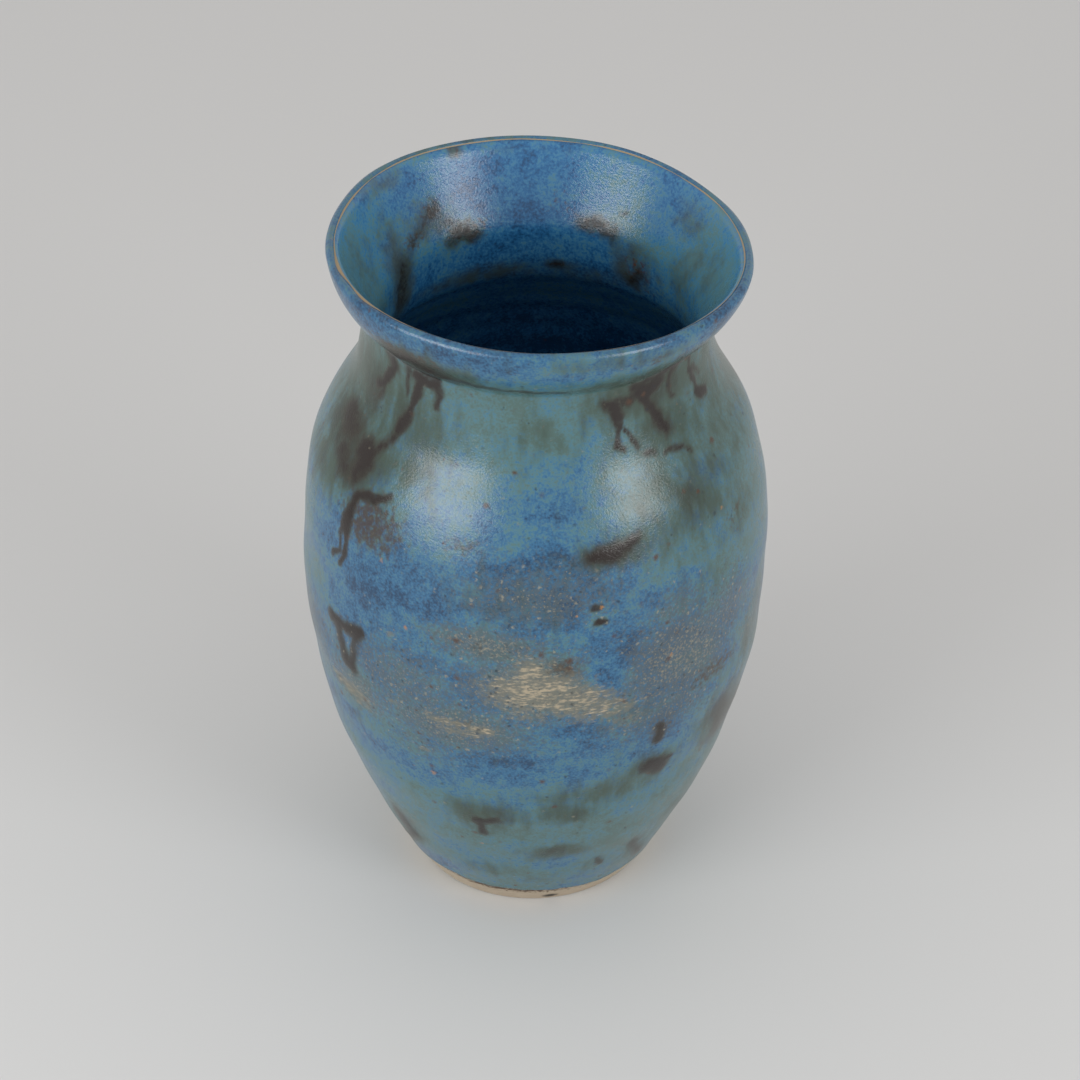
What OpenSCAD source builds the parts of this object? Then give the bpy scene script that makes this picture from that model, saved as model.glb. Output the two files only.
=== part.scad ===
// Wheel-thrown stoneware flower vase: one fired clay body, a glaze coat poured
// inside it and a glaze coat laid over its outside, neck and lip.
// Millimetres, +Z up. The origin is the centre of the face the vase stands on.

/* [Clay form] */
// Height of the clay from the standing face to the top of the lip
height = 250; // [205:0.5:300]
// Outside diameter of the foot
foot_d = 84; // [68:0.5:102]
// Outside diameter of the clay at the belly
belly_d = 159; // [140:0.5:192]
// Height of the belly above the standing face
belly_z = 130; // [108:1:156]
// Outside diameter of the clay in the groove of the neck
neck_d = 115.5; // [100:0.5:126]
// Outside diameter of the clay over the lip
mouth_d = 139.5; // [132:0.5:168]
// Height of the flared lip above the groove of the neck
flare_h = 22.5; // [17:0.5:32]

/* [Clay curves] */
// Lean of the wall, from upright, where it leaves the foot
foot_lean = 29; // [20:1:34]
// Lean of the wall, from upright, where it meets the lip
lip_lean = 8; // [0:1:20]
// Pull of the foot on the lower wall, as a share of that stretch's height
foot_pull = 0.3; // [0.2:0.01:0.4]
// Fullness of the lower wall under the belly, as a share of its height
lower_fullness = 0.42; // [0.3:0.01:0.5]
// Fullness of the shoulder over the belly, as a share of its height
shoulder_fullness = 0.75; // [0.4:0.01:0.8]
// Length of the upright stretch under the neck, as a share of the shoulder
neck_softness = 0.46; // [0.3:0.01:0.55]
// Softness of the neck's groove, as a share of the flare's height
groove_softness = 0.16; // [0.14:0.01:0.5]
// Pull of the lip on the flare, as a share of the flare's height
lip_pull = 0.66; // [0.2:0.01:0.8]

/* [Clay thickness] */
// Thickness of the clay at the lip
lip_t = 3.5; // [2.5:0.1:5]
// Thickness of the clay wall where it meets the floor
base_t = 6.5; // [4.5:0.1:8]
// Thickness of the floor
floor_t = 6; // [4:0.1:9]
// Height over which the inside wall sweeps into the floor
floor_sweep = 16; // [8:0.5:20]

/* [Foot] */
// Depth of the trimmed recess under the floor
recess_depth = 2.5; // [1:0.1:4]
// Width of the ring that the vase stands on
ring_w = 8; // [5:0.1:11]
// Radius of the ring's outer edge
edge_r = 1; // [0.4:0.1:2]

/* [Glaze] */
// Thickness of the glaze coats
glaze_t = 0.5; // [0.3:0.05:0.7]
// Height of the bare clay band above the standing face
bare_h = 9; // [4:0.5:20]
// Width of the bare line round the lip where the two coats stop
lip_line = 0.9; // [0.6:0.1:1.2]
// Turn round the lip, from its outer side over its top, at which that line lies
lip_line_turn = 130; // [90:1:150]

/* [Hidden] */
$fn = 128;

bare_steps = 3;        // facets of the outline on the bare band over the foot
lower_steps = 26;      // between the bare band and the belly
shoulder_steps = 26;   // between the belly and the groove of the neck
flare_steps = 18;      // between the groove and the lip
sweep_steps = 12;      // round the sweep from the inside wall into the floor
arc_step = 10;         // degrees for each facet of a rounded edge
edge_step = 30;        // degrees for each facet of a coat's thin edge
sweep_pull = 0.6;      // how far each end of the sweep runs on straight, as a share of its height
on_axis = 0.01;        // a point nearer to the axis than this lies on it

clay = [0.80, 0.71, 0.60];
blue_glaze = [0.27, 0.47, 0.64];
deep_glaze = [0.16, 0.37, 0.60];

neck_z = height - flare_h;
lip_z = height - lip_t / 2;
floor_z = recess_depth + floor_t;

// Centre of the rounded lip, and of the ring's rounded outer edge, as [radius, height]
lip_centre = [mouth_d / 2 - lip_t / 2, lip_z];
edge_centre = [foot_d / 2 - edge_r, edge_r];

function unit(v) = v / norm(v);
function polar(a) = [cos(a), sin(a)];
function reversed(list) = [for (i = [len(list) - 1:-1:0]) list[i]];

// A cubic Bezier curve with the control points c, and the direction it runs in
function bezier(c, t) =
    pow(1 - t, 3) * c[0] + 3 * pow(1 - t, 2) * t * c[1]
    + 3 * (1 - t) * pow(t, 2) * c[2] + pow(t, 3) * c[3];
function bezier_dir(c, t) = unit(
    pow(1 - t, 2) * (c[1] - c[0]) + 2 * (1 - t) * t * (c[2] - c[1])
    + pow(t, 2) * (c[3] - c[2]));
// The share of the curve c at which it has climbed to the height z
function share_at(c, z, low = 0, high = 1, tries = 24) =
    tries == 0 ? (low + high) / 2
    : let (mid = (low + high) / 2)
      bezier(c, mid).y < z ? share_at(c, z, mid, high, tries - 1)
                           : share_at(c, z, low, mid, tries - 1);

// The outside of the clay in three stretches: foot to belly, belly to groove, groove to lip
foot_start = edge_centre + edge_r * polar(-foot_lean);
foot_dir = [sin(foot_lean), cos(foot_lean)];
lower_h = belly_z - foot_start.y;
lower_curve = [
    foot_start,
    foot_start + foot_pull * lower_h * foot_dir,
    [belly_d / 2, belly_z - lower_fullness * lower_h],
    [belly_d / 2, belly_z]
];
shoulder_h = neck_z - belly_z;
shoulder_curve = [
    [belly_d / 2, belly_z],
    [belly_d / 2, belly_z + shoulder_fullness * shoulder_h],
    [neck_d / 2, neck_z - neck_softness * shoulder_h],
    [neck_d / 2, neck_z]
];
flare_end = lip_centre + lip_t / 2 * polar(-lip_lean);
flare_curve = [
    [neck_d / 2, neck_z],
    [neck_d / 2, neck_z + groove_softness * flare_h],
    flare_end - lip_pull * flare_h * [sin(lip_lean), cos(lip_lean)],
    flare_end
];

// An outline is a list of [point, outward normal], from the foot to the lip and on inside.
function outward(dir) = [dir.y, -dir.x];
function along(c, steps, from = 0, to = 1) = [
    for (i = [0:steps])
        let (t = from + (to - from) * i / steps)
        [bezier(c, t), outward(bezier_dir(c, t))]
];
function around(centre, r, from, to) =
    let (steps = max(1, ceil(abs(to - from) / arc_step)))
    [
        for (i = [0:steps])
            let (a = from + (to - from) * i / steps)
            [centre + r * polar(a), polar(a)]
    ];

// The lip's arc starts where the flare ends and turns over the top by half a circle
lip_from = -lip_lean;
lip_to = 180 - lip_lean;
line_turn = lip_line / lip_t * 2 * 180 / PI;
outer_stop = lip_from + lip_line_turn - line_turn / 2;
inner_stop = lip_from + lip_line_turn + line_turn / 2;

lip_outside = around(lip_centre, lip_t / 2, lip_from, outer_stop);
lip_inside = around(lip_centre, lip_t / 2, inner_stop, lip_to);

// The outside of the clay below and above the height at which its glaze starts
bare_share = share_at(lower_curve, bare_h);
bare_wall = along(lower_curve, bare_steps, 0, bare_share);
glazed_wall = concat(
    along(lower_curve, lower_steps, bare_share),
    along(shoulder_curve, shoulder_steps, 1 / shoulder_steps),
    along(flare_curve, flare_steps, 1 / flare_steps));

// Clay thickness at a height on the outside, even from the standing face to the lip
function wall_t(z) = lip_t + (base_t - lip_t) * (1 - z / flare_end.y);

// The inside follows the outside at the wall's thickness, then sweeps into the floor
inside_wall = [
    for (p = reversed(concat(bare_wall, glazed_wall)))
        let (q = p[0] - wall_t(p[0].y) * p[1])
        if (q.y > floor_z + floor_sweep) [q, -p[1]]
];
sweep_start = inside_wall[len(inside_wall) - 1];
down_wall = -outward(sweep_start[1]);
floor_edge = [sweep_start[0].x - floor_sweep * tan(foot_lean) - floor_sweep, floor_z];
sweep_curve = [
    sweep_start[0],
    sweep_start[0] + sweep_pull * floor_sweep * down_wall,
    floor_edge + [sweep_pull * floor_sweep, 0],
    floor_edge
];
inside_floor = along(sweep_curve, sweep_steps, 1 / sweep_steps);

// The points of an outline, lifted off it by t
function lifted(outline, t) = [for (p = outline) p[0] + t * p[1]];
// The rounded edge where a coat stops: from the clay out to the coat's skin
function coat_edge(p, onward, t) = [
    for (a = [0:edge_step:180])
        p[0] + t / 2 * (1 - cos(a)) * p[1] + t / 2 * sin(a) * onward
];
// A coat of glaze t thick that lies all along an outline
module coat(outline, t) {
    first = outline[0];
    last = outline[len(outline) - 1];
    back = unit(first[0] - outline[1][0]);
    on = unit(last[0] - outline[len(outline) - 2][0]);
    ends_on_axis = last[0].x < on_axis;
    rotate_extrude()
        polygon(concat(
            lifted(outline, 0),
            ends_on_axis ? lifted([last], t) : coat_edge(last, on, t),
            reversed(lifted(outline, t)),
            reversed(coat_edge(first, back, t))));
}

// Fired clay: foot ring and recess, wall, neck, flared lip and floor in one piece
module clay_body() {
    recess_r = foot_d / 2 - ring_w;
    color(clay)
        rotate_extrude()
            polygon(concat(
                [[0, recess_depth], [recess_r - recess_depth, recess_depth], [recess_r, 0]],
                lifted(around(edge_centre, edge_r, -90, -foot_lean), 0),
                lifted(bare_wall, 0),
                lifted(glazed_wall, 0),
                lifted(lip_outside, 0),
                lifted(lip_inside, 0),
                lifted(inside_wall, 0),
                lifted(inside_floor, 0),
                [[0, floor_z]]));
}

// Satin blue glaze from above the bare foot, up the wall and over the lip
module outside_glaze() {
    color(blue_glaze)
        coat(concat(glazed_wall, lip_outside), glaze_t);
}

// Liner glaze from the inner side of the lip, down the wall and over the floor
module inside_glaze() {
    color(deep_glaze)
        coat(concat(lip_inside, inside_wall, inside_floor, [[[0, floor_z], [0, 1]]]), glaze_t);
}

clay_body();
outside_glaze();
inside_glaze();
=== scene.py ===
import math

import bpy
import numpy as np
from mathutils import Matrix, Vector
from mathutils.bvhtree import BVHTree


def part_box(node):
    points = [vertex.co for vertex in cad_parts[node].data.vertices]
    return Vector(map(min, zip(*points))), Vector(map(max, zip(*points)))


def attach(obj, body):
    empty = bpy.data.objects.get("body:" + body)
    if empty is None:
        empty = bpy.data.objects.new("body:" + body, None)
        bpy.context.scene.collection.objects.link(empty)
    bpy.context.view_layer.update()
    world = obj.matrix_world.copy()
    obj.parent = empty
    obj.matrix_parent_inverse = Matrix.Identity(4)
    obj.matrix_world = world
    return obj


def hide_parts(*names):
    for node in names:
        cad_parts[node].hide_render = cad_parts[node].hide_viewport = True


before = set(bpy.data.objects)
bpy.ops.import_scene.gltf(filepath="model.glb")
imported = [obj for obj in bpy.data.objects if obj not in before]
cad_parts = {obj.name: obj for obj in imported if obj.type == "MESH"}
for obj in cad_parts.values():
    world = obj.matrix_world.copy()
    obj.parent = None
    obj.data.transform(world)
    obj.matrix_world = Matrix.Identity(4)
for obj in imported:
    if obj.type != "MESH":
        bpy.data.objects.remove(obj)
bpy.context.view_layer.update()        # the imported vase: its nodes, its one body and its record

MM = 0.001               # metres in a millimetre; the frame is in metres, the pot's own sizes are in mm

# A place on the pot is an azimuth in degrees and a height in mm. Azimuth 0 faces the camera,
# along -Y, and it grows towards +X, so 90 is the pot's right side and 180 its back.


# ---------------------------------------------------------------- camera

def set_up_camera():
    """A long lens, looking down at the pot from in front, and very slightly turned."""
    lens = bpy.data.cameras.new("camera")
    lens.sensor_width = 36
    lens.lens = 122
    camera = bpy.data.objects.new("camera", lens)
    down = math.radians(36.22)
    turn = math.radians(0.25)
    stand = (0.0027, -1.024, 0.879)
    camera.matrix_world = (Matrix.Translation(stand)
                           @ Matrix.Rotation(math.pi / 2 - down, 4, "X")
                           @ Matrix.Rotation(turn, 4, "Z"))
    bpy.context.scene.collection.objects.link(camera)
    bpy.context.scene.camera = camera


# ---------------------------------------------------------------- the clay's outline, from the frame

def frame_mesh(node):
    """The vertices of a CAD node, in mm, and a tree that rays can be cast on."""
    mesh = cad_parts[node].data
    points = np.zeros(len(mesh.vertices) * 3)
    mesh.vertices.foreach_get("co", points)
    points = points.reshape(-1, 3) / MM
    tree = BVHTree.FromPolygons(points.tolist(), [list(face.vertices) for face in mesh.polygons])
    return points, tree


def clay_outline():
    """The clay's wall as one line of (radius, height) in mm: from the standing ring's outer edge up
    the outside, over the lip and down the inside to the middle of the floor. Also the sizes of the
    foot."""
    points, tree = frame_mesh("clay_body")
    radius = np.hypot(points[:, 0], points[:, 1])
    height = points[:, 2]
    top = height.max()
    beside = 0.01        # keeps a ray off the seam of the mesh
    clear = 0.2          # keeps a ray off the lip's arc and off the axis
    far = radius.max() * 2

    def outside(z):
        return tree.ray_cast(Vector((far, beside, z)), Vector((-1, 0, 0)))[0].x

    def inside(z):
        return tree.ray_cast(Vector((0, beside, z)), Vector((1, 0, 0)))[0].x

    def floor_height(r):
        return tree.ray_cast(Vector((r, beside, top / 2)), Vector((0, 0, -1)))[0].z

    standing = radius[height < 0.01]
    recess = tree.ray_cast(Vector((beside, beside, -far)), Vector((0, 0, 1)))[0].z
    foot = {"inner": standing.min(), "outer": standing.max(), "recess": recess}
    under_lip = top - 2  # where the wall has the lip's thickness
    lip_r = (outside(under_lip) - inside(under_lip)) / 2
    lip_z = top - lip_r
    lip_x = (outside(lip_z) + inside(lip_z)) / 2
    flat_r = foot["outer"] * 0.95    # from here in, the floor is flat enough to read from above
    up = np.linspace(0.05, lip_z - clear, 480)
    over = np.radians(np.linspace(0, 180, 25))
    down = np.linspace(lip_z - clear, floor_height(flat_r) + 0.3, 440)
    across = np.linspace(flat_r, clear, 60)
    line = ([(foot["outer"], 0.0)]
            + [(outside(z), z) for z in up]
            + [(lip_x + lip_r * math.cos(a), lip_z + lip_r * math.sin(a)) for a in over]
            + [(inside(z), z) for z in down]
            + [(r, floor_height(r)) for r in across]
            + [(0.0, floor_height(0))])
    return np.array(line), foot


class Outline:
    """The clay's line, measured along its length in mm, with its outward normal."""

    def __init__(self, line):
        step = np.hypot(*np.diff(line, axis=0).T)
        along = np.concatenate([[0], np.cumsum(step)])
        spacing = 0.25
        smooth = np.array([1, 2, 3, 2, 1]) / 9
        self.length = along[-1]
        self.s = np.arange(0, self.length, spacing)
        even = [np.interp(self.s, along, line[:, k]) for k in (0, 1)]
        self.r, self.z = [np.convolve(np.pad(values, 2, mode="edge"), smooth, "valid") for values in even]
        dr, dz = np.gradient(self.r), np.gradient(self.z)
        size = np.hypot(dr, dz)
        self.nr, self.nz = dz / size, -dr / size
        self.top = self.s[np.argmax(self.z)]

    def at(self, s, lift=0.0):
        """Radius and height of the points s mm along the line, lifted off the clay."""
        nr, nz = np.interp(s, self.s, self.nr), np.interp(s, self.s, self.nz)
        return np.interp(s, self.s, self.r) + lift * nr, np.interp(s, self.s, self.z) + lift * nz

    def up_outside(self, z):
        """How far along the line the outside reaches the height z."""
        climb = self.s <= self.top
        return np.interp(z, self.z[climb], self.s[climb])


def stretch_under(node):
    """The stretch of the clay's line that a coat lies on, as where it starts and stops, in mm."""
    points, _ = frame_mesh(node)
    on_clay = 0.1        # a point nearer to the clay than this, in mm, lies on it
    section = np.column_stack([np.hypot(points[:, 0], points[:, 1]), points[:, 2]])
    section = np.unique(np.round(section, 2), axis=0)
    apart = np.hypot(section[:, :1] - CLAY.r, section[:, 1:] - CLAY.z)
    touching = CLAY.s[apart.argmin(axis=1)[apart.min(axis=1) < on_clay]]
    return touching.min(), touching.max()


LINE, FOOT = clay_outline()
CLAY = Outline(LINE)
HEIGHT = CLAY.z.max()
COAT_T = (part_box("outside_glaze")[1].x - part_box("clay_body")[1].x) / MM
WALL_START, WALL_STOP = stretch_under("outside_glaze")
LINER_START, _ = stretch_under("inside_glaze")
BARE_H = np.interp(WALL_START, CLAY.s, CLAY.z)
HOLLOW = CLAY.up_outside(np.array([208.0, 245.0]))      # where the neck's hollow starts and stops


# ---------------------------------------------------------------- the potter's hand

def smooth_step(low, high, value):
    """0 up to low, 1 from high, and a soft climb between them."""
    t = np.clip((value - low) / (high - low), 0, 1)
    return t * t * (3 - 2 * t)


def waves(azimuth, height, cycles, rise, phase):
    """A soft ripple with a whole number of cycles round the pot, that climbs rise mm in a cycle."""
    return np.sin(np.radians(azimuth * cycles) + 2 * math.pi * height / rise + phase)


def thrown(azimuth, radius, height):
    """Turns true lathe points into hand-thrown ones, as x, y, z in mm. The wall keeps its throwing
    ridges, it leans to its right and is a little oval, and the lip is higher on its left. The foot
    stays flat."""
    off_axis = np.minimum(radius / 60, 1)
    wall = smooth_step(4, 40, height) * off_axis
    under_neck = 1 - smooth_step(205, 228, height)
    ridges = 0.26 * waves(azimuth, height, 1, 50, 0.6) + 0.10 * waves(azimuth, height, 1, 21, 2.0)
    oval = 0.45 * np.cos(2 * np.radians(azimuth - 35)) * height / HEIGHT
    near_lip = smooth_step(232, 249, height) * off_axis
    lip_wobble = (0.35 * waves(azimuth, height, 3, 400, 0.4) + 0.22 * waves(azimuth, height, 5, 300, 1.9)
                  + 0.12 * waves(azimuth, height, 9, 300, 4.0))
    radius = radius + wall * (ridges * under_neck + oval) + near_lip * lip_wobble
    angle = np.radians(azimuth)
    x = radius * np.sin(angle)
    y = -radius * np.cos(angle)
    flare = np.clip((height - 230) / 20, 0, 1)
    lip_rise = 0.25 * waves(azimuth, 0, 2, 1, 1.0) + 0.15 * waves(azimuth, 0, 5, 1, 0.3)
    tilt = -0.035 * x - 0.006 * y
    lean = 0.0078 * height
    return x + lean, y, height + flare * (tilt + lip_rise)


def opened_throat(s):
    """How far in mm the inside wall stands in from the clay's line, s mm along it. The potter opened
    the mouth with one straight pull, so the wall slopes evenly from the lip through the neck, with no
    ridge, and then drops into the shoulder."""
    mouth_r, mouth_z = 66.1, 248
    throat_r = 52.5
    slope = math.tan(math.radians(28))
    radius, height = CLAY.at(s)
    pulled = np.logaddexp(mouth_r - slope * (mouth_z - height), throat_r)
    below_lip = 1 - smooth_step(mouth_z, mouth_z + 1.2, height)
    above_shoulder = smooth_step(194, 214, height) * (s > CLAY.top)
    leaning = np.abs(np.interp(s, CLAY.s, CLAY.nr)) + slope * np.abs(np.interp(s, CLAY.s, CLAY.nz))
    return above_shoulder * below_lip * (radius - pulled) / leaning


# ---------------------------------------------------------------- turning a section into a mesh

def turned_piece(name, azimuth, radius, height, closed):
    """A closed mesh from a grid of (row, column) points round the pot. A closed section joins its
    last row to its first one; an open one starts and ends on the axis, where a fan closes it."""
    rows, columns = radius.shape
    xyz = np.stack(thrown(azimuth, radius, height), axis=-1).reshape(-1, 3) * MM
    grid = np.arange(rows * columns).reshape(rows, columns)
    lower = grid if closed else grid[:-1]
    upper = np.roll(grid, -1, axis=0) if closed else grid[1:]
    quads = np.stack([lower, np.roll(lower, -1, axis=1), np.roll(upper, -1, axis=1), upper], axis=-1)
    quads = quads.reshape(-1, 4)
    fans = np.zeros((0, 3), int)
    if not closed:
        ends = np.array([thrown(0, 0, height[row].mean()) for row in (0, -1)]) * MM
        first, last = rows * columns, rows * columns + 1
        xyz = np.vstack([xyz, ends])
        start = np.stack([np.roll(grid[0], -1), grid[0], np.full(columns, first)], axis=-1)
        stop = np.stack([grid[-1], np.roll(grid[-1], -1), np.full(columns, last)], axis=-1)
        fans = np.vstack([start, stop])
    mesh = bpy.data.meshes.new(name)
    mesh.from_pydata(xyz.tolist(), [], quads.tolist() + fans.tolist())
    mesh.shade_smooth()
    piece = bpy.data.objects.new(name, mesh)
    bpy.context.scene.collection.objects.link(piece)
    return piece


def store(piece, name, values):
    """Keeps one number for each point of the piece, for its material to read. The points on the
    axis, if it has any, get the mean."""
    flat = np.ravel(values)
    extra = len(piece.data.vertices) - len(flat)
    flat = np.concatenate([flat, np.full(extra, flat.mean())]).astype(np.float32)
    layer = piece.data.attributes.new(name, "FLOAT", "POINT")
    layer.data.foreach_set("value", flat)


def ride_as(piece, node, finish):
    """The piece stands for a CAD node on the pot's one body and with its finish."""
    piece.data.materials.append(finish)
    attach(piece, "root")
    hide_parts(node)


# ---------------------------------------------------------------- marks in the glaze

def clouds(marks, azimuth, radius, height):
    """The strongest of some soft clouds of colour at each point. A cloud is its azimuth and height,
    its half width and half height in mm, and its strength. It is full in the middle and fades fast
    at its edge."""
    fade, fullness = 0.7, 1.3
    field = np.zeros(azimuth.shape)
    for at, up, wide, tall, strength in marks:
        across = np.radians((azimuth - at + 180) % 360 - 180) * radius
        far = (across / wide) ** 2 + ((height - up) / tall) ** 2
        field = np.maximum(field, strength * np.exp(-fade * far ** fullness))
    return field


def runs(marks, azimuth, radius, height):
    """The strongest of some runs of dark glaze at each point: 0 half way across a run's edge, growing
    to its strength inside and falling to a least value outside. A run is its half width and its edge's
    softness in mm, its strength, and the places that it flows through. Its path wanders and sags, and
    its width swells, as a thick run does on its way down."""
    least = -1.5
    field = np.full(azimuth.shape, least)
    wander = 0.35 * waves(azimuth, height, 31, 17, 1.0) + 0.3 * waves(azimuth, height, -67, 7.3, 2.0)
    sag = 0.4 * waves(azimuth, height, -41, 23, 0.3) + 0.25 * waves(azimuth, height, 79, 9.1, 4.0)
    swell = 1 + 0.2 * waves(azimuth, height, 23, 25, 0.5) + 0.15 * waves(azimuth, height, -13, 13, 3.0)
    for half, soft, strength, path in marks:
        for (a0, z0), (a1, z1) in zip(path, path[1:]):
            near = np.abs(height - (z0 + z1) / 2) < abs(z1 - z0) / 2 + 1.6 * half + 3 * soft
            x = np.radians((azimuth[near] - a0 + 180) % 360 - 180) * radius[near] + wander[near]
            z = height[near] - z0 + sag[near]
            run_x = math.radians(a1 - a0) * np.mean(radius[near]) if near.any() else 0
            run_z = z1 - z0
            share = np.clip((x * run_x + z * run_z) / (run_x ** 2 + run_z ** 2), 0, 1)
            distance = np.hypot(x - share * run_x, z - share * run_z)
            depth = np.clip((half * swell[near] - distance) / (1.1 * soft), least, strength)
            field[near] = np.maximum(field[near], depth)
    return field


def round_the_back(marks, seed):
    """The marks, and the same kinds again on the half that is turned away, shifted a little."""
    chance = np.random.default_rng(seed)
    behind = []
    for mark in marks:
        turn, lift = 180 + chance.uniform(-14, 14), chance.uniform(-5, 5)
        if isinstance(mark[-1], list):
            path = [(a + turn, z + lift) for a, z in mark[-1]]
            behind.append((*mark[:-1], path))
        else:
            behind.append((mark[0] + turn, mark[1] + lift, *mark[2:]))
    return marks + behind


# Runs of manganese-dark glaze: half width, softness, strength, [(azimuth, height), ...]. They gather
# in the hollow of the neck and run down over the shoulder; the rest are dabs and drips on the wall.
NECK_RUNS = [
    (2.4, 2.0, 1.2, [(-46, 236), (-38, 236.5), (-30, 235), (-26, 233.5)]),
    (0.8, 0.9, 1.0, [(-28, 234), (-20, 233.8), (-14, 233)]),
    (0.5, 1.0, 0.4, [(-14, 233), (-4, 233), (8, 232)]),
    (1.2, 1.4, 1.2, [(-56, 229), (-48, 230), (-40, 229.5), (-34, 228)]),
    (2.2, 1.6, 1.0, [(-55, 228), (-53, 224)]),
    (1.5, 1.2, 0.9, [(-53, 224), (-56, 218.5), (-61, 213)]),
    (0.6, 1.2, 0.5, [(-57, 217), (-59, 209)]),
    (2.0, 1.2, 1.2, [(-42, 226), (-38, 225.5), (-34, 224.5)]),
    (1.3, 1.0, 1.1, [(-34, 226), (-32.5, 222), (-33.5, 218)]),
    (1.3, 0.9, 1.4, [(-41, 224), (-42, 218), (-44, 213)]),
    (1.7, 1.2, 1.4, [(-44, 213), (-45, 208), (-47, 204)]),
    (1.0, 1.8, 0.7, [(-47, 204), (-50, 198), (-53, 194), (-56, 190)]),
    (3.2, 2.4, 0.8, [(-58, 192), (-55, 190), (-57, 184)]),
    (0.6, 1.2, 0.6, [(-46, 228), (-46, 217)]),
    (3.0, 4.0, 0.4, [(-72, 196), (-66, 194)]),
    (2.0, 4.0, 0.3, [(-66, 186), (-62, 183)]),
    (1.4, 1.4, 1.1, [(22, 222.5), (26, 222.5), (30, 222)]),
    (2.0, 1.4, 1.1, [(24.5, 222), (26, 217.5)]),
    (0.7, 0.8, 0.9, [(25.5, 217), (25.3, 211), (25, 207), (27, 205)]),
    (0.6, 0.8, 0.8, [(26.5, 216), (28, 212), (30, 208.5), (31.5, 205)]),
    (1.2, 1.4, 0.9, [(31, 226.5), (38, 227), (45, 228), (58, 229.5)]),
    (2.0, 1.4, 1.2, [(33, 224), (37, 223.5), (42, 225)]),
    (1.5, 1.2, 1.2, [(35, 222), (38, 216.5), (40.5, 211.5), (43, 207)]),
    (1.6, 2.2, 0.7, [(40, 211), (43.5, 206.5)]),
    (0.7, 0.9, 0.8, [(47.5, 228), (46.3, 223), (46, 219), (48, 216)]),
    (0.9, 0.8, 1.2, [(56.5, 228.5), (57, 222), (59, 217), (61, 212)]),
    (1.6, 0.9, 1.2, [(60.5, 211.5), (63, 210), (65.5, 208.5)]),
    (0.5, 0.7, 0.8, [(59, 222), (61.5, 219), (63.5, 217)]),
    (0.5, 1.0, 0.5, [(41, 200), (46, 199), (48, 199), (50, 196)]),
    (0.6, 1.4, 0.35, [(34, 202), (37, 201)]),
]
WALL_RUNS = [
    (1.1, 1.0, 0.9, [(-42, 184), (-46, 182), (-51, 180), (-54, 178)]),
    (2.1, 1.2, 1.4, [(-53.5, 178), (-54, 173), (-54.5, 167)]),
    (0.6, 0.8, 1.0, [(-55, 167), (-56.7, 163), (-56.3, 159), (-55.5, 157)]),
    (1.1, 0.8, 1.2, [(-54.3, 167), (-53.4, 162), (-54.3, 157), (-55.3, 151.5)]),
    (0.8, 0.8, 0.9, [(-56, 157), (-59, 153.5)]),
    (1.9, 1.4, 0.9, [(-59, 128), (-53, 127), (-47.5, 130)]),
    (1.7, 1.8, 0.8, [(-56.5, 127), (-55, 120), (-53, 113)]),
    (1.6, 1.8, 0.8, [(-48.5, 128), (-49.8, 120), (-51, 113)]),
    (1.8, 1.6, 0.8, [(-53.5, 113), (-50.5, 111.5)]),
    (2.0, 2.0, 0.8, [(14, 175.5), (19, 175), (21, 176.5), (25, 178)]),
    (1.1, 0.8, 1.2, [(15, 152), (16.2, 151.6)]),
    (0.8, 0.9, 0.6, [(13.8, 158), (15.2, 158)]),
    (1.5, 1.2, 1.0, [(33, 99), (33.2, 96), (33, 93)]),
    (3.0, 2.0, 0.9, [(32, 81), (35, 80), (36, 78)]),
    (1.0, 1.2, 0.7, [(36, 80), (39, 80.5)]),
    (1.5, 1.5, 0.8, [(-16, 58), (-13.5, 58.5), (-11, 59.5)]),
    (1.2, 1.4, 0.8, [(-15, 57), (-15, 50)]),
    (3.0, 3.5, 0.5, [(-51, 35), (-51, 31)]),
    (1.5, 2.5, 0.6, [(-48, 28), (-53, 22), (-60, 18)]),
    (1.2, 2.6, 0.2, [(38, 31), (41, 26), (45, 21), (49, 16)]),
    (3.0, 6.0, 0.05, [(56, 90), (60, 84), (60, 76), (72, 78)]),
    (1.0, 1.6, 0.4, [(24, 28), (26, 24)]),
]

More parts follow.
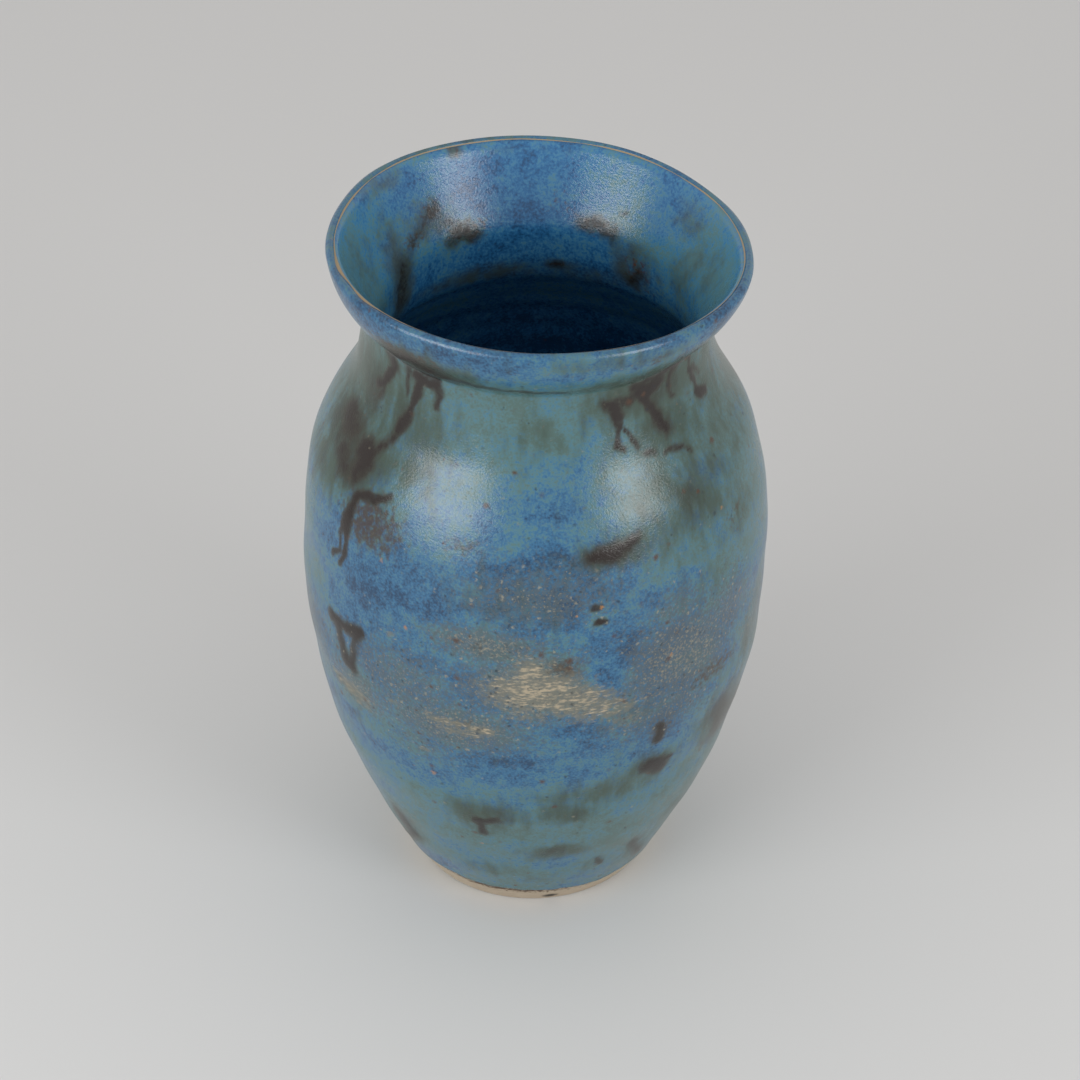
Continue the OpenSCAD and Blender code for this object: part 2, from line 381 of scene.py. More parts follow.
# Clouds of colour: azimuth, height, half width, half height, strength. Olive is where iron in the
# glaze gathered, and rust where it broke through to brown.
OLIVE_CLOUDS = [
    (-66, 206, 36, 26, 0.85), (-44, 210, 17, 18, 0.85), (-57, 188, 16, 11, 1.25), (-34, 236, 24, 6, 1.2),
    (-70, 192, 18, 10, 1.3), (-64, 210, 9, 12, 1.3), (-38, 198, 14, 12, 0.8), (-72, 178, 18, 8, 0.9),
    (48, 235, 28, 7, 0.95), (40, 222, 30, 10, 1.0), (43, 208, 16, 10, 0.95), (66, 214, 20, 16, 0.8),
    (22, 234, 16, 5, 0.7), (52, 198, 22, 8, 0.7), (2, 230, 22, 4, 0.4), (34, 244, 12, 3, 0.7),
    (19.5, 175, 17, 5.5, 1.0), (32, 177, 14, 5, 0.5), (60, 167, 13, 8, 0.6), (0, 213, 11, 9, 0.55),
    (28, 217, 10, 6, 0.45), (22, 205, 16, 9, 0.35), (8, 64, 10, 7, 1.0), (18, 73, 22, 7, 0.8),
    (30, 77, 12, 8, 0.7), (-13, 62, 15, 8, 0.95), (-15, 54, 9, 7, 0.6), (7, 39, 11, 5, 1.15),
    (-50, 32, 9, 11, 0.8), (-57, 19, 8, 4, 0.7), (46, 21, 13, 8, 0.5), (56, 42, 10, 15, 0.6),
    (-14, 24, 16, 5, 0.45), (62, 84, 17, 14, 0.95), (34.5, 80, 10, 8, 0.9), (50, 66, 12, 8, 0.4),
    (24, 111, 12, 6, 0.5), (-2, 162, 26, 11, 0.5), (36, 188, 18, 9, 0.6),
    (44, 183, 26, 15, 0.85), (20, 246, 30, 4, 0.5), (46, 150, 14, 9, 0.35), (-76, 172, 20, 9, 0.5),
    (-78, 112, 22, 12, 0.5), (26, 26, 9, 6, 0.35), (5, 19, 10, 5, 0.3), (-30, 222, 9, 5, 0.2),
    (72, 110, 16, 12, 0.5), (78, 196, 20, 12, 0.5), (-64, 85, 18, 9, 0.4), (5, 230, 30, 3, 0.4),
]
RUST_CLOUDS = [
    (6.5, 134, 6, 4, 0.9), (-46, 173, 15, 9, 1.1), (50, 113, 13, 5, 0.8), (33, 98, 4.5, 5, 0.9),
    (-42, 240, 17, 3, 0.8), (60, 168, 9, 5, 0.5), (-18, 178, 8, 3.5, 0.6), (33, 243, 3, 2.5, 0.8),
    (-52, 128, 11, 4, 0.7), (35, 80, 5, 4, 0.5), (45, 238, 14, 4, 0.6), (-2, 142, 10, 4, 0.4),
    (-14, 142, 10, 4, 0.4), (20, 116, 6, 3, 0.5), (-70, 195, 8, 6, 0.4), (-17, 108, 4, 2, 0.6),
]
# Thick pools, deep blue, and thin stretches, where the copper shows teal
COBALT_POOLS = [
    (7, 190, 9, 7, 1.0), (-4, 190, 14, 8, 0.7), (0, 165, 28, 15, 1.1), (-28, 158, 20, 12, 0.6),
    (-46, 146, 16, 14, 0.9), (17, 130, 6, 8, 0.3), (14, 192, 12, 7, 0.5), (-8, 88, 24, 13, 0.5),
    (-27, 78, 12, 6, 0.7), (-48, 16, 16, 6, 0.8), (-30, 134, 20, 12, 0.5), (22, 146, 14, 10, 0.6),
    (50, 187, 14, 5, 0.7), (26, 155, 14, 8, 0.5), (10, 104, 16, 8, 0.8), (-20, 247, 22, 4, 0.7),
    (12, 242, 12, 4, 0.5), (60, 247, 12, 4, 0.7), (30, 128, 10, 14, 0.6), (-52, 247, 12, 4, 0.3),
    (34, 64, 12, 8, 0.3), (10, 225, 12, 3, 0.4), (32, 94, 14, 8, 0.5), (-60, 158, 16, 9, 0.5),
]
TEAL_CLOUDS = [
    (52, 212, 44, 22, 1.0), (76, 190, 26, 34, 0.9), (-70, 206, 40, 30, 1.0), (-42, 204, 18, 20, 0.7),
    (6, 218, 34, 12, 0.8), (32, 192, 18, 16, 1.0), (60, 160, 20, 16, 0.8), (-76, 150, 14, 24, 0.4),
    (14, 247, 22, 5, 0.4), (36, 246, 20, 5, 0.5), (42, 176, 18, 14, 1.0),
    (40, 40, 26, 22, 0.4), (60, 30, 20, 24, 0.5), (30, 236, 30, 6, 0.7), (66, 100, 20, 26, 0.6),
]
# The belt at the belly where the coat was rubbed thin and grey, with thick drops that kept their
# blue, and the patches where it was rubbed through to the clay
WORN_PATCHES = [
    (-12, 143, 20, 7, 0.9), (2, 126, 30, 15, 0.9), (38, 128, 26, 20, 0.9), (-34, 118, 26, 16, 0.7),
    (-20, 106, 26, 11, 0.9), (-50, 104, 18, 10, 0.8), (34, 108, 24, 12, 0.7), (2, 163, 28, 12, 0.60),
    (-30, 92, 18, 8, 0.5), (54, 136, 16, 14, 0.7), (-8, 160, 16, 8, 0.5), (36, 148, 14, 10, 0.6),
    (-72, 112, 20, 16, 0.6), (74, 120, 18, 16, 0.6),
]
THICK_DROPS = [(17, 131, 5, 6, 1.3), (-38, 60, 5, 4, 0.6), (-52, 140, 6, 5, 0.6)]
BARE_PATCHES = [
    (-1, 133, 7, 7, 0.9), (0, 125, 17, 8, 1.05), (10, 121, 13, 7, 0.9), (16, 116, 13, 6, 0.85),
    (-21, 107.6, 8, 1.4, 0.95), (-13, 106.4, 5, 2.6, 1.0), (-18, 103.8, 10, 1.4, 0.7),
    (-55, 100, 13, 3.4, 0.85), (-49, 96, 6, 2, 0.6), (-37, 136.5, 1.6, 0.9, 1.0), (-29, 90, 2.6, 0.8, 0.9),
    (-36, 107.5, 4, 1.2, 0.7), (22, 108, 7, 4, 0.5), (-2, 114, 10, 3, 0.5),
]

# The same kinds of marks on the throat, inside
THROAT_RUNS = [
    (2.0, 2.0, 0.8, [(204, 222.5), (210, 224.5), (214, 223)]),
    (1.6, 2.0, 0.7, [(207, 226), (213, 229)]),
    (1.5, 1.8, 0.8, [(217, 234), (220, 234)]),
    (1.6, 1.8, 0.8, [(228, 229.5), (231, 227)]),
    (1.0, 2.4, 0.5, [(222, 232), (228, 229.5)]),
    (2.0, 2.2, 0.6, [(152, 224), (157, 226.5), (164, 226)]),
    (0.6, 1.0, 0.7, [(148, 232.5), (149.5, 232)]),
    (1.4, 1.6, 0.6, [(172, 209.5), (175, 210)]),
    (1.6, 2.6, 0.35, [(138, 213), (142, 209)]),
    (3.0, 5.0, 0.35, [(240, 222), (242, 210)]),
]
THROAT_OLIVE = [
    (241, 221, 8, 17, 1.0), (143, 216, 8, 11, 0.9), (136, 216, 12, 8, 0.6), (121, 240, 10, 7, 0.6),
    (112, 224, 9, 14, 0.6), (206, 248, 3.5, 2.2, 1.0), (236, 247, 14, 4, 0.6), (182, 247, 26, 2.5, 0.35),
    (222, 231, 12, 6, 0.7), (210, 224, 12, 5, 0.5), (157, 226, 11, 4, 0.6), (202, 207, 26, 4, 0.8),
    (165, 207, 22, 5, 0.6), (98, 232, 12, 9, 0.5), (262, 236, 12, 9, 0.5), (60, 230, 20, 10, 0.5),
    (300, 235, 24, 8, 0.5), (0, 225, 20, 8, 0.6), (152, 243, 10, 6, 0.3),
]
THROAT_COBALT = [
    (186, 236, 22, 14, 1.0), (190, 214, 60, 10, 0.9), (252, 240, 16, 9, 0.6), (226, 241, 12, 7, 0.6),
    (160, 214, 30, 8, 0.7), (130, 232, 12, 8, 0.5), (100, 246, 12, 6, 0.6), (20, 235, 40, 12, 0.7),
    (320, 225, 30, 12, 0.7),
]
THROAT_TEAL = [(272, 234, 34, 22, 1.0), (96, 232, 34, 20, 0.9), (150, 236, 12, 10, 0.4)]
THROAT_RUST = [
    (207, 225, 9, 4, 0.7), (219, 234, 5, 3, 0.6), (230, 228, 5, 3, 0.7), (158, 226, 8, 3, 0.6),
    (139, 214, 7, 7, 0.5), (172, 231, 7, 4, 0.35), (173, 209.5, 3, 1.5, 0.8), (206, 248, 2.5, 1.5, 0.6),
]


# ---------------------------------------------------------------- finishes

# How a pattern's coordinates are stretched
EVEN = (1, 1, 1)         # not at all
POOLED = (1, 1, 1.7)     # into wide pools
DABBED = (1, 1, 1.4)     # into dabs, a little wider than they are high
SCUFFED = (1, 1, 3)      # into short level scuffs
LEVEL = (1, 1, 5)        # into level streaks, as the wheel draws them
DRIPPED = (1, 1, 0.3)    # into upright ones, as a glaze runs


def linear(colour):
    """An sRGB hex colour as linear RGBA."""
    shares = [int(colour[i:i + 2], 16) / 255 for i in (1, 3, 5)]
    return [*(c / 12.92 if c <= 0.04045 else ((c + 0.055) / 1.055) ** 2.4 for c in shares), 1.0]


def add(tree, kind, inputs=None, **settings):
    """Adds a node with its settings. An input is another node's socket, or a plain value."""
    node = tree.nodes.new(kind)
    for name, value in settings.items():
        setattr(node, name, value)
    for key, value in (inputs or {}).items():
        if isinstance(value, bpy.types.NodeSocket):
            tree.links.new(value, node.inputs[key])
        else:
            node.inputs[key].default_value = value
    return node


def new_finish(name):
    """An empty material and its tree."""
    material = bpy.data.materials.new(name)
    material.use_nodes = True
    material.node_tree.nodes.clear()
    return material, material.node_tree


def place_in_mm(tree):
    """The place of each point of a piece, in mm."""
    place = add(tree, "ShaderNodeTexCoord").outputs["Object"]
    return add(tree, "ShaderNodeVectorMath", {0: place, "Scale": 1 / MM}, operation="SCALE").outputs[0]


def noise_sum(tree, place, parts):
    """A sum of noises about 0. Each is its stretch, its grain in mm and its weight."""
    total = 0.0
    for stretch, grain, weight in parts:
        stretched = add(tree, "ShaderNodeVectorMath", {0: place, 1: stretch}, operation="MULTIPLY")
        noise = add(tree, "ShaderNodeTexNoise", {"Vector": stretched.outputs[0], "Scale": 1 / grain,
                                                 "Detail": 3.0, "Roughness": 0.55})
        centred = add(tree, "ShaderNodeMath", {0: noise.outputs[0], 1: 0.5}, operation="SUBTRACT")
        added = add(tree, "ShaderNodeMath", {0: centred.outputs[0], 1: weight, 2: total},
                    operation="MULTIPLY_ADD")
        total = added.outputs[0]
    return total


def lay_marks(tree, place, skin, marks):
    """Lays colours over the skin where the pot's marks are. Each is the mark, its colour, the stretch
    and grain in mm of the noise that breaks it up, how much it does so, where the mark starts and is
    whole, and how much of the skin it covers then."""
    for mark, colour, stretch, grain, break_up, start, whole, cover in marks:
        field = add(tree, "ShaderNodeAttribute", attribute_name=mark)
        ragged = noise_sum(tree, place, [(stretch, grain, break_up)])
        broken = add(tree, "ShaderNodeMath", {0: field.outputs["Fac"], 1: ragged}, operation="ADD")
        share = add(tree, "ShaderNodeMapRange", {"Value": broken.outputs[0], "From Min": start,
                                                 "From Max": whole, "To Max": cover},
                    interpolation_type="SMOOTHSTEP")
        mixed = add(tree, "ShaderNodeMix", {0: share.outputs[0], 6: skin, 7: linear(colour)},
                    data_type="RGBA")
        skin = mixed.outputs[2]
    return skin


def scatter_specks(tree, place, skin, specks):
    """Scatters ragged specks of uneven size over the skin. Each kind is its colour, its spacing and
    greatest radius in mm, the share of places that hold one, the mark that they gather in, how much
    more of them it holds, and how much of the skin a speck covers."""
    smallest = 0.15      # the smallest speck's radius, as a share of the greatest
    wobble = add(tree, "ShaderNodeTexNoise", {"Vector": place, "Scale": 1.1})
    ragged = add(tree, "ShaderNodeVectorMath", {0: wobble.outputs["Color"], 1: (1.6, 1.6, 1.6), 2: place},
                 operation="MULTIPLY_ADD").outputs[0]
    for colour, spacing, size, share, mark, more, cover in specks:
        cells = add(tree, "ShaderNodeTexVoronoi", {"Vector": ragged, "Scale": 1 / spacing})
        chance = add(tree, "ShaderNodeSeparateColor", {0: cells.outputs["Color"]})
        field = add(tree, "ShaderNodeAttribute", attribute_name=mark)
        drawn = add(tree, "ShaderNodeMath", {0: field.outputs["Fac"], 1: more,
                                             2: chance.outputs["Red"]}, operation="MULTIPLY_ADD")
        picked = add(tree, "ShaderNodeMapRange", {"Value": drawn.outputs[0], "From Min": 1 - share,
                                                  "From Max": 1.06 - share})
        reach = add(tree, "ShaderNodeMath", {0: chance.outputs["Green"], 1: size / spacing,
                                             2: smallest * size / spacing}, operation="MULTIPLY_ADD")
        near = add(tree, "ShaderNodeMapRange", {"Value": cells.outputs["Distance"],
                                                "From Min": reach.outputs[0], "From Max": 0.0,
                                                "To Max": cover}, interpolation_type="SMOOTHSTEP")
        both = add(tree, "ShaderNodeMath", {0: picked.outputs[0], 1: near.outputs[0]},
                   operation="MULTIPLY")
        mixed = add(tree, "ShaderNodeMix", {0: both.outputs[0], 6: skin, 7: linear(colour)},
                    data_type="RGBA")
        skin = mixed.outputs[2]
    return skin


def glaze_finish(name, pigment, blots, depth, marks, specks, under, satin):
    """A satin stoneware glaze: cobalt and a little copper in a magnesia glaze, poured and brushed on in
    uneven depth and fired to about 1250 C. Fine crystals grow in it as it cools, so it scatters light
    in a soft sheen and not a mirror; the blue is deep where the coat is thick, and turns teal and grey
    where it is thin. pigment is the colours from thin to thick, blots and depth say how the thickness
    changes (depth by height in mm), and under is the mark where the coat is dry and not satin."""
    material, tree = new_finish(name)
    place = place_in_mm(tree)
    thickness = noise_sum(tree, place, blots)
    height = add(tree, "ShaderNodeSeparateXYZ", {0: place}).outputs["Z"]
    for low, high, change in depth:
        zone = add(tree, "ShaderNodeMapRange", {"Value": height, "From Min": low, "From Max": high,
                                                "To Max": change}, interpolation_type="SMOOTHSTEP")
        added = add(tree, "ShaderNodeMath", {0: thickness, 1: zone.outputs[0]}, operation="ADD")
        thickness = added.outputs[0]
    pool_depth, dry_roughness = 0.30, 0.50
    cobalt = add(tree, "ShaderNodeAttribute", attribute_name="cobalt")
    richer = add(tree, "ShaderNodeMath", {0: cobalt.outputs["Fac"], 1: pool_depth, 2: thickness},
                 operation="MULTIPLY_ADD")
    ramp = add(tree, "ShaderNodeValToRGB", {0: richer.outputs[0]})
    stops = ramp.color_ramp.elements
    for _ in pigment[2:]:
        stops.new(0.5)
    for stop, (position, colour) in zip(stops, pigment):
        stop.position = position
        stop.color = linear(colour)
    skin = lay_marks(tree, place, ramp.outputs[0], marks)
    skin = scatter_specks(tree, place, skin, specks)

    # Crystals under 1 mm make the sheen uneven; drawn twice as coarse as the real ones, so they show
    crystals = noise_sum(tree, place, [(EVEN, 0.9, 0.5), (EVEN, 3.0, 0.3)])
    bare = add(tree, "ShaderNodeAttribute", attribute_name=under)
    dry = add(tree, "ShaderNodeMapRange", {"Value": bare.outputs["Fac"], "From Min": 0.3, "From Max": 0.9,
                                           "To Min": satin, "To Max": dry_roughness})
    rough = add(tree, "ShaderNodeMath", {0: crystals, 1: 0.15, 2: dry.outputs[0]},
                operation="MULTIPLY_ADD")
    ripple = noise_sum(tree, place, [(EVEN, 0.7, 0.9), (EVEN, 2.2, 0.25), (LEVEL, 9.0, 0.25)])
    bump = add(tree, "ShaderNodeBump", {"Height": ripple, "Distance": 0.11 * MM, "Strength": 1.0})
    shader = add(tree, "ShaderNodeBsdfPrincipled", {"Base Color": skin, "Roughness": rough.outputs[0],
                                                    "IOR": 1.55, "Normal": bump.outputs[0]})
    add(tree, "ShaderNodeOutputMaterial", {0: shader.outputs[0]})
    return material


def outside_finish():
    """The outside glaze: blue over teal, with olive clouds, manganese-dark runs from the neck, and a
    worn belt at the belly where the coat was rubbed thin and grains of clay show through it."""
    return glaze_finish(
        "satin cobalt stoneware glaze",
        pigment=[(0.0, "#4a6562"), (0.24, "#4c7074"), (0.44, "#457284"), (0.66, "#2f648a"),
                 (1.0, "#163c5c")],
        blots=[(POOLED, 36, 1.1), (DABBED, 12, 0.9), (EVEN, 3.0, 0.8), (EVEN, 0.9, 1.1)],
        depth=[(0, 1, 0.32), (60, 90, 0.20), (178, 205, -0.16), (232, 243, 0.22)],
        marks=[
            ("olive", "#36463a", DRIPPED, 5.0, 1.8, 0.10, 1.05, 0.85),
            ("olive", "#22231a", DRIPPED, 8.0, 2.0, 0.70, 1.60, 0.80),
            ("worn", "#48555c", EVEN, 1.2, 2.2, 0.10, 0.90, 0.80),
            ("worn", "#7f7c6e", EVEN, 0.9, 3.2, 0.70, 1.50, 0.80),
            ("rust", "#3d2b1a", EVEN, 2.0, 2.1, 0.25, 1.20, 0.85),
            ("bare", "#6c6c61", EVEN, 2.0, 1.8, 0.20, 0.90, 0.80),
            ("bare", "#a99c84", SCUFFED, 2.6, 3.2, 0.70, 1.50, 0.90),
            ("dark", "#2b281e", DRIPPED, 3.0, 1.6, -1.30, 0.30, 0.85),
            ("dark", "#1a100c", EVEN, 1.4, 1.6, -0.40, 0.80, 0.98),
        ],
        specks=[
            ("#8f8a78", 1.7, 0.9, 0.04, "worn", 0.40, 0.8),
            ("#14222c", 2.1, 1.0, 0.12, "worn", 0.30, 0.7),
            ("#4a2f1c", 4.6, 1.8, 0.14, "worn", 0.20, 0.9),
            ("#a8794a", 8.0, 1.4, 0.10, "worn", 0.05, 0.9),
        ],
        under="bare",
        satin=0.23)


def inside_finish():
    """The liner: the same glaze, poured thicker, so it is a deeper blue. Low in the body it is darker
    still: partly the thicker pour, partly painted shade where the lip's shadow falls inside.
    """
    return glaze_finish(
        "satin deep cobalt liner glaze",
        pigment=[(0.05, "#567c80"), (0.30, "#4c8094"), (0.50, "#3f7ca4"), (0.72, "#2a6a9c"),
                 (1.0, "#1c4c76")],
        blots=[(POOLED, 30, 1.0), (DABBED, 10, 0.8), (EVEN, 2.6, 0.7), (EVEN, 1.0, 1.3)],
        # The blue deepens from 196 mm down to 164 mm: partly a thicker pour, partly painted shade under
        # the line of the lip's shadow inside the pot
        depth=[(0, 1, 0.90), (164, 196, -0.42)],
        marks=[
            ("olive", "#474f40", EVEN, 5.0, 1.2, 0.15, 1.05, 0.80),
            ("rust", "#4f3422", EVEN, 1.6, 2.2, 0.30, 1.00, 0.80),
            ("dark", "#34352b", EVEN, 3.0, 1.6, -1.20, 0.50, 0.60),
            ("dark", "#241c18", EVEN, 1.8, 2.0, -0.20, 1.00, 0.85),
        ],
        specks=[
            ("#24405c", 2.3, 0.6, 0.10, "rust", 0.25, 0.5),
            ("#6b4327", 5.2, 0.9, 0.06, "rust", 0.5, 0.8),
        ],
        under="dark",
        satin=0.17)


def clay_finish():
    """Fired stoneware clay, turned on the wheel and left bare: a dry buff body, with fine sand that
    the sponge brought up, and iron that burnt brown in the flame near the glaze."""
    material, tree = new_finish("unglazed buff stoneware")
    place = place_in_mm(tree)
    tone = noise_sum(tree, place, [(LEVEL, 6.0, 0.9), (EVEN, 0.9, 0.5)])
    share = add(tree, "ShaderNodeMath", {0: tone, 1: 0.5}, operation="ADD")
    skin = add(tree, "ShaderNodeMix", {0: share.outputs[0], 6: linear("#a69a86"), 7: linear("#c6bca9")},
               data_type="RGBA").outputs[2]
    skin = lay_marks(tree, place, skin, [
        ("blush", "#a58c76", LEVEL, 8.0, 0.5, 0.2, 1.0, 0.3),
        ("burnt", "#4a3423", SCUFFED, 1.4, 2.6, 0.45, 0.85, 0.9),
        ("smudge", "#2c2a26", SCUFFED, 2.0, 0.8, 0.3, 0.9, 0.9),
        ("lip", "#9a8768", EVEN, 2.0, 0.6, 0.2, 0.8, 0.8),
    ])
    skin = scatter_specks(tree, place, skin, [("#6d5540", 3.0, 0.5, 0.12, "burnt", 0.3, 0.7)])
    grit = noise_sum(tree, place, [(EVEN, 0.5, 0.8), (LEVEL, 2.4, 1.0)])
    bump = add(tree, "ShaderNodeBump", {"Height": grit, "Distance": 0.2 * MM, "Strength": 1.0})
    shader = add(tree, "ShaderNodeBsdfPrincipled", {"Base Color": skin, "Roughness": 0.85, "IOR": 1.45,
                                                    "Normal": bump.outputs[0]})
    add(tree, "ShaderNodeOutputMaterial", {0: shader.outputs[0]})
    return material


# ---------------------------------------------------------------- the three pieces

COLUMNS = 360            # round the pot: a cell of the mesh is 1.4 mm wide at the belly
TUCK = 0.12              # mm that a coat's back reaches into the clay, so no gap shows at its edge
SUNK = 0.10              # mm that the clay lies under a coat


def ring_of_azimuths(rows):
    """The azimuth of every (row, column) of a piece, from the back round to the back."""
    return np.tile(np.linspace(-180, 180, COLUMNS, endpoint=False), (rows, 1))


def glaze_edge(azimuth):
    """Height in mm of the outside coat's lower edge: it was wiped with a sponge, so it wanders."""
    return (BARE_H + 0.2 + 1.1 * waves(azimuth, 0, 1, 1, 3.9) + 0.6 * waves(azimuth, 0, 3, 1, 2.6)
            + 0.35 * waves(azimuth, 0, 7, 1, 1.0) + 0.25 * waves(azimuth, 0, 13, 1, 4.0)
            + 0.18 * waves(azimuth, 0, 29, 1, 0.5) + 0.12 * waves(azimuth, 0, 53, 1, 2.2))


def round_edge(distance, width):
    """A coat's thickness near its edge, as a share of the full one: it rises as a round bead."""
    t = np.clip(distance / width, 0, 1)
    return np.sqrt(1 - (1 - t) ** 2)


def outside_coat(finish):
    """The coat from its wiped lower edge up to the lip, where it is rubbed back a little on the left.
    It has a thick bead at its lower edge, stands proud in the dark runs, and is thin where it is
    worn."""
    rows = 212
    azimuth = ring_of_azimuths(rows)
    turn = azimuth[0]
    start = CLAY.up_outside(glaze_edge(turn))
    rubbed_lip = 0.9 * np.exp(-((turn + 62) / 18) ** 2) * (1 + 0.5 * waves(turn, 0, 19, 1, 0.8))
    stop = WALL_STOP + 0.2 + 0.15 * waves(turn, 0, 11, 1, 0.3) - rubbed_lip
    s = start + (stop - start) * np.linspace(0, 1, rows)[:, None]
    place = (azimuth, *CLAY.at(s))
    from_edge = s - start
    marks = {
        "dark": runs(NECK_RUNS + round_the_back(NECK_RUNS[:9], 5) + round_the_back(WALL_RUNS, 4), *place),
        "olive": clouds(round_the_back(OLIVE_CLOUDS, 6), *place),
        "rust": clouds(round_the_back(RUST_CLOUDS, 7), *place),
        "cobalt": clouds(round_the_back(COBALT_POOLS, 8), *place)
                  - clouds(round_the_back(TEAL_CLOUDS, 11), *place),
        "worn": clouds(round_the_back(WORN_PATCHES, 9), *place)
                - clouds(round_the_back(THICK_DROPS, 12), *place),
        "bare": np.maximum(clouds(round_the_back(BARE_PATCHES, 10), *place),
                           1.1 * (1 - smooth_step(0.1, 0.9, from_edge))),
    }
    bead = 1 + 0.4 * np.exp(-((from_edge - 1.4) / 1.2) ** 2)
    flow = 0.05 * waves(azimuth, place[2], 5, 90, 1.0) + 0.04 * waves(azimuth, place[2], 11, 37, 2.0)
    raised = 0.16 * smooth_step(-0.4, 1.0, marks["dark"])
    rubbed = 0.26 * smooth_step(0.35, 0.9, marks["bare"]) * smooth_step(2, 4, from_edge)
    edges = round_edge(from_edge, 0.9) * round_edge(stop - s, 0.6)
    skin = CLAY.at(s, (COAT_T * bead + flow + raised - rubbed) * edges)

    # Behind the coat the rows are far apart, except in the hollow of the neck
    behind = np.concatenate([np.linspace(WALL_START, HOLLOW[0], 20), np.linspace(*HOLLOW, 34)[1:],
                             [stop.mean()]])[::-1]
    share = (behind - WALL_START) / (stop.mean() - WALL_START)
    back = CLAY.at(start + (stop - start) * share[:, None], -TUCK)
    radius, height = (np.vstack(pair) for pair in zip(skin, back))
    piece = turned_piece("outside_glaze_coat", ring_of_azimuths(len(radius)), radius, height, closed=True)
    for name, values in marks.items():
        store(piece, name, np.vstack([values, np.zeros(back[0].shape)]))
    ride_as(piece, "outside_glaze", finish)


def liner_coat(finish):
    """The coat inside, from the lip down the throat and the wall to the middle of the floor, with the
    potter's finger rings under it."""
    rows, hidden = 196, 70
    azimuth = ring_of_azimuths(rows)
    start = LINER_START - 0.2 + 0.15 * waves(azimuth[0], 0, 7, 1, 2.0)
    stop = CLAY.length - 0.5
    s = start + (stop - start) * np.linspace(0, 1, rows)[:, None]
    place = (azimuth, *CLAY.at(s))
    marks = {
        "dark": runs(THROAT_RUNS, *place),
        "olive": clouds(THROAT_OLIVE, *place),
        "rust": clouds(THROAT_RUST, *place),
        "cobalt": clouds(THROAT_COBALT, *place) - clouds(THROAT_TEAL, *place),
    }
    rings = 0.16 * waves(azimuth, place[2], 1, 9, 0.7) * (1 - smooth_step(200, 222, place[2]))
    skin = CLAY.at(s, (COAT_T + rings) * round_edge(s - start, 0.6) + opened_throat(s))
    behind = stop + (start - stop) * np.linspace(0, 1, hidden)[:, None]
    back = CLAY.at(behind, opened_throat(behind) - TUCK)
    radius, height = (np.vstack(pair) for pair in zip(back, skin))
    piece = turned_piece("liner_glaze_coat", ring_of_azimuths(len(radius)), radius, height, closed=False)
    for name, values in marks.items():
        store(piece, name, np.vstack([np.zeros(back[0].shape), values]))
    ride_as(piece, "inside_glaze", finish)


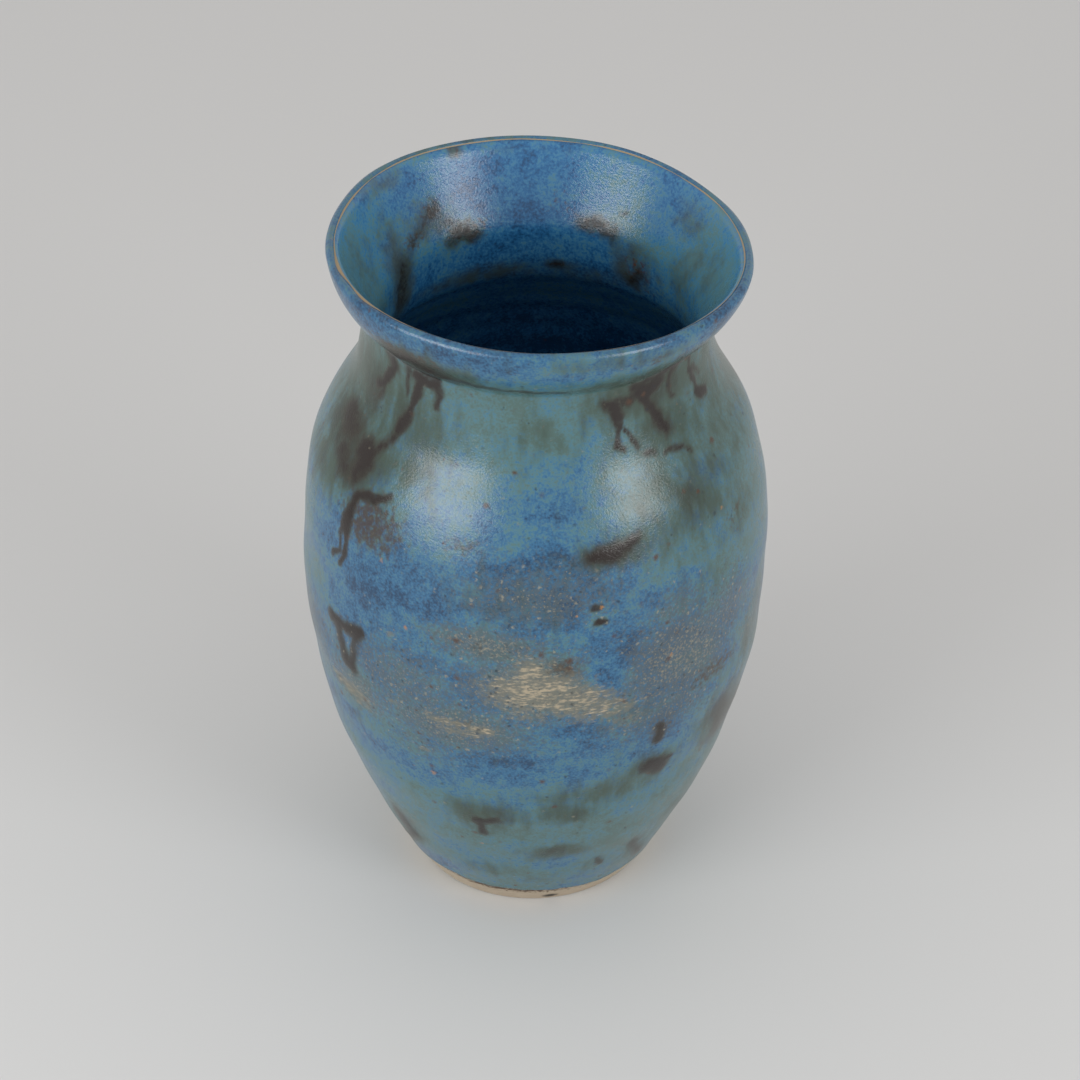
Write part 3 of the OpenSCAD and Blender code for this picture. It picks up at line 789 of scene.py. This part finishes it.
def clay_pot(finish):
    """The clay from the middle of its underside, out over the recess and the standing ring, up the
    wall, over the lip and down to the middle of the floor. It is sunk a little where it is glazed."""
    across = np.linspace(0.5, FOOT["inner"] - FOOT["recess"], 40)
    recess = np.column_stack([across, FOOT["recess"] + 0.10 * np.sin(2 * math.pi * across / 3.4)])
    slope = np.linspace((across[-1], FOOT["recess"]), (FOOT["inner"], 0), 5)[1:]
    ring = np.column_stack([np.linspace(FOOT["inner"], FOOT["outer"], 8)[1:-1], np.zeros(6)])
    under = np.vstack([recess, slope, ring])
    # The rows are close together at the glaze's lower edge, in the neck's hollow and at the lip
    s = np.concatenate([
        np.linspace(0, 16, 36),
        np.linspace(20, HOLLOW[0], 34),
        np.linspace(HOLLOW[0] + 1, HOLLOW[1], 40),
        np.linspace(HOLLOW[1] + 1, WALL_STOP - 3, 3),
        np.linspace(WALL_STOP - 2, LINER_START + 2, 24),
        np.linspace(LINER_START + 4, CLAY.length - 0.5, 70),
    ])
    azimuth = ring_of_azimuths(len(s))
    wall_s = np.tile(s[:, None], (1, COLUMNS))
    edge = CLAY.up_outside(glaze_edge(azimuth[0]))
    covered = (smooth_step(0, 0.6, wall_s - edge)
               - smooth_step(-0.3, 0.3, wall_s - WALL_STOP)
               + smooth_step(-0.3, 0.3, wall_s - LINER_START))
    radius, height = CLAY.at(wall_s, opened_throat(wall_s) - SUNK * covered)
    under_glaze = np.where(wall_s < 30, np.exp(-((edge - wall_s - 0.8) / 2.6) ** 2), 0)
    flame = 0.35 + 0.65 * np.exp(-((azimuth + 12) / 26) ** 2)
    marks = {
        "burnt": under_glaze * flame,
        "smudge": np.exp(-((azimuth - 9) / 5) ** 2 - ((height - 2.6) / 1.5) ** 2),
        "blush": 0.5 + 0.5 * waves(azimuth, height, 2, 60, 1.2),
        "lip": smooth_step(HEIGHT - 12, HEIGHT - 8, height),
    }
    rows = len(under)
    flat = [np.tile(under[:, k:k + 1], (1, COLUMNS)) for k in (0, 1)]
    piece = turned_piece("clay_pot", ring_of_azimuths(rows + len(s)), np.vstack([flat[0], radius]),
                         np.vstack([flat[1], height]), closed=False)
    for name, values in marks.items():
        store(piece, name, np.vstack([np.zeros((rows, COLUMNS)), values]))
    ride_as(piece, "clay_body", finish)


# ---------------------------------------------------------------- studio

def studio():
    """A plain pale table top, pale light from all round, and two large softboxes that stand in front
    of the pot on its left and right."""
    reach, sides = 3.0, 96
    ring = [(reach * math.cos(2 * math.pi * k / sides), reach * math.sin(2 * math.pi * k / sides), 0)
            for k in range(sides)]
    mesh = bpy.data.meshes.new("table_top")
    mesh.from_pydata(ring, [], [list(range(sides))])
    floor = bpy.data.objects.new("table_top", mesh)
    bpy.context.scene.collection.objects.link(floor)
    # Laminate pressed between dull plates: a pale, even top with only a faint, wide sheen
    material, tree = new_finish("matt pale laminate")
    shader = add(tree, "ShaderNodeBsdfPrincipled", {"Base Color": linear("#d4d6d6"), "Roughness": 0.6})
    add(tree, "ShaderNodeOutputMaterial", {0: shader.outputs[0]})
    mesh.materials.append(material)

    world = bpy.data.worlds.new("soft light")
    world.use_nodes = True
    world.node_tree.nodes.clear()
    sky = add(world.node_tree, "ShaderNodeBackground", {"Color": linear("#f2eeec"), "Strength": 0.76})
    add(world.node_tree, "ShaderNodeOutputWorld", {0: sky.outputs[0]})
    bpy.context.scene.world = world
    distance = 1.1
    raised = Vector((0, 0, 0.50))
    tipped = Vector((0, 0, 0.05))
    for name, azimuth, width, power in (("left_softbox", -48, 0.74, 6.3), ("right_softbox", 50, 0.5, 4.5)):
        light = bpy.data.lights.new(name, "AREA")
        light.shape = "RECTANGLE"
        light.size = width
        light.size_y = 0.52
        light.energy = power
        lamp = bpy.data.objects.new(name, light)
        angle = math.radians(azimuth)
        away = Vector((math.sin(angle), -math.cos(angle), 0.0)) * distance
        lamp.location = away + raised
        lamp.rotation_euler = (away + tipped).to_track_quat("Z", "Y").to_euler()
        lamp.visible_camera = False
        bpy.context.scene.collection.objects.link(lamp)
    bpy.context.scene.view_settings.view_transform = "Standard"


set_up_camera()
clay_pot(clay_finish())
outside_coat(outside_finish())
liner_coat(inside_finish())
studio()
